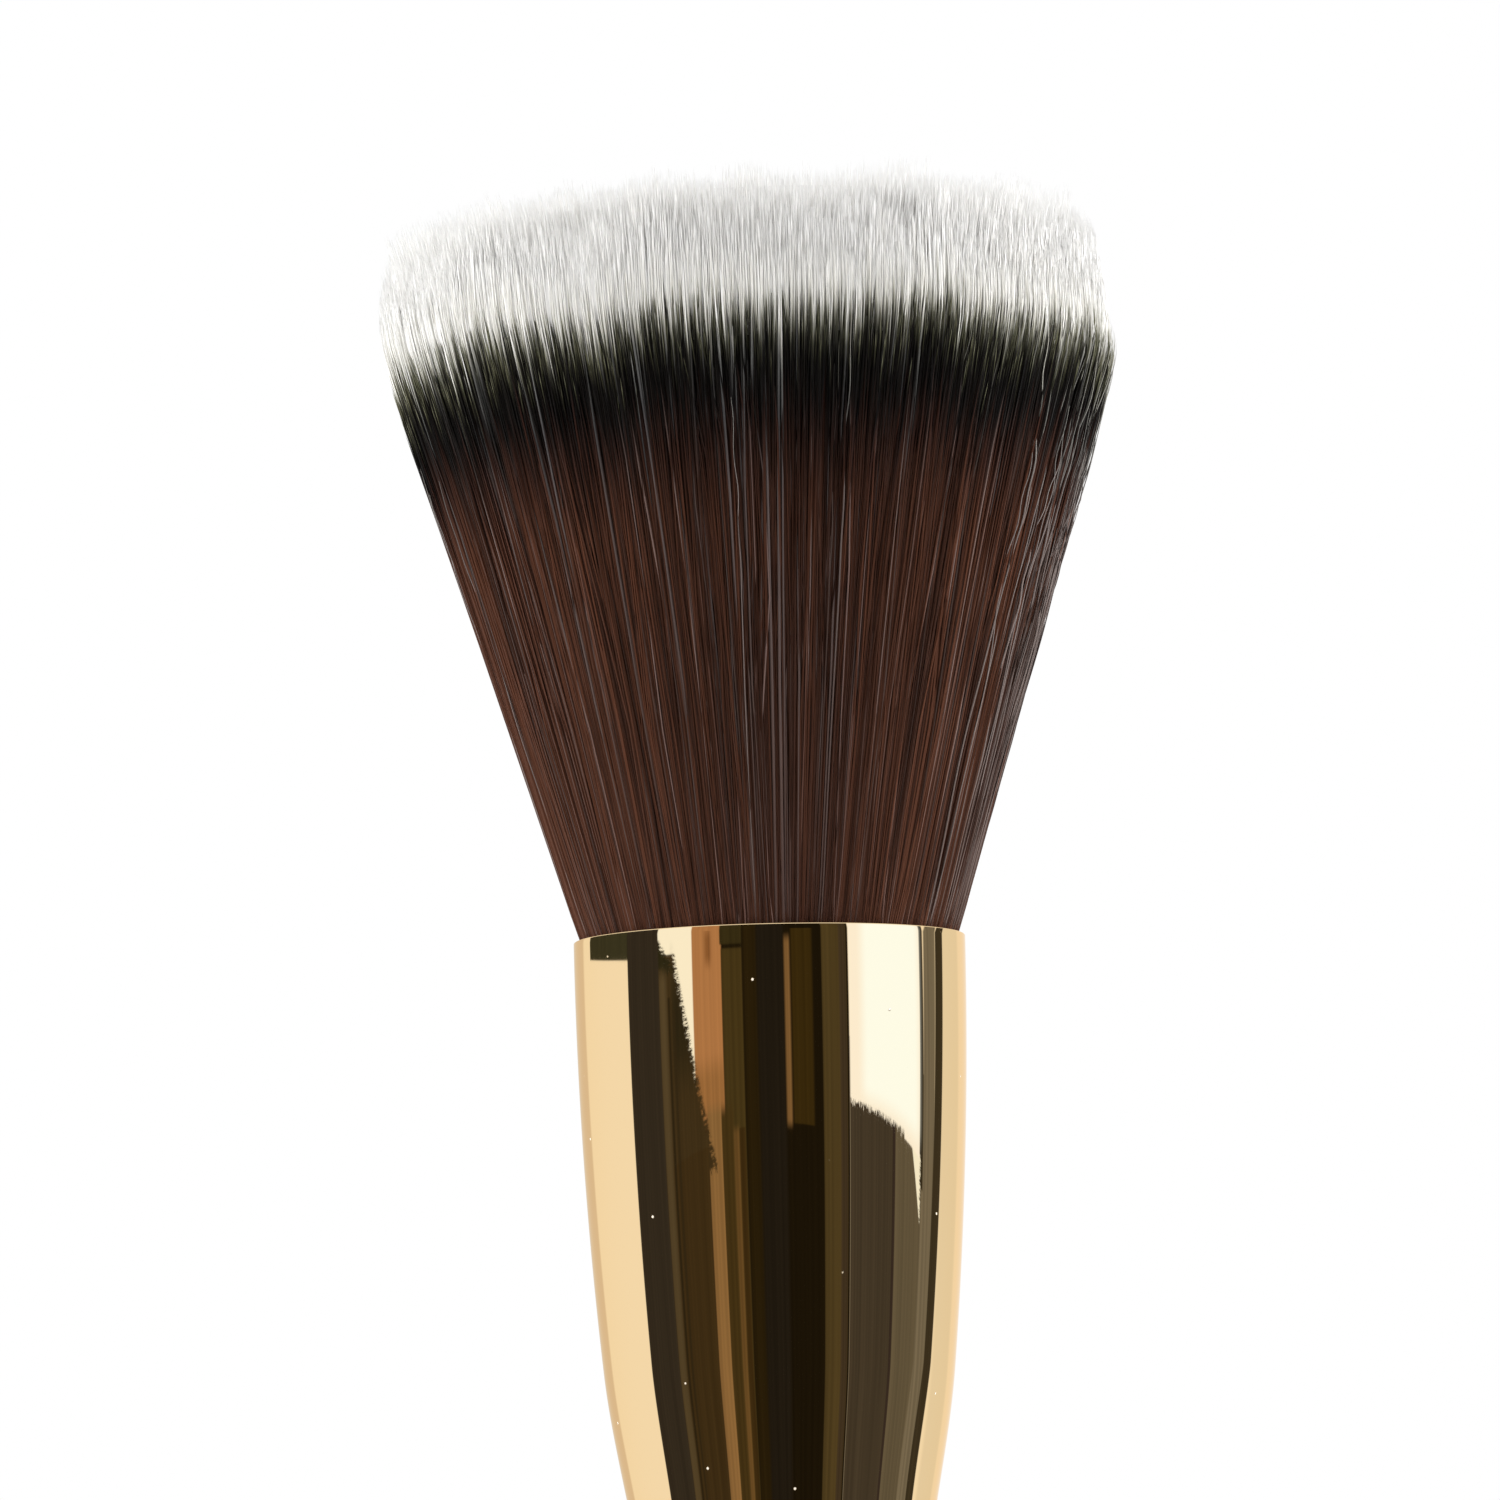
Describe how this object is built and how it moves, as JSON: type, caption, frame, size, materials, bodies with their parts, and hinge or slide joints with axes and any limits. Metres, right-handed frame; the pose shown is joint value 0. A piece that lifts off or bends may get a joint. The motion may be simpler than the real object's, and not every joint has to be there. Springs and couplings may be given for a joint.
{
  "type": "stippling brush",
  "caption": "Round full-size stippling brush: a flared head of short dark and longer white fibres, a narrowing gold ferrule and a tapered black handle.",
  "frame": {"origin": "centre of the handle's flat butt", "axes": "+Z along the brush from the butt to the fibre tips; X and Y are alike, because the brush is round"},
  "size_m": [0.0368, 0.0366, 0.1812],
  "materials": {
    "handle_lacquer": "black gloss lacquer",
    "ferrule_gold": "polished gold plate",
    "dark_fibre": "brown fibre with a black end",
    "white_fibre": "translucent white fibre",
    "resin": "cast epoxy",
    "glue": "set glue",
    "thread": "waxed cotton"
  },
  "bodies": {
    "root": {"handle": "handle_lacquer", "ferrule": "ferrule_gold", "short_dark_fibres": "dark_fibre", "long_white_fibres": "white_fibre", "resin_cup": "resin", "tenon_glue": "glue", "root_binding": "thread"}
  },
  "joints": []
}
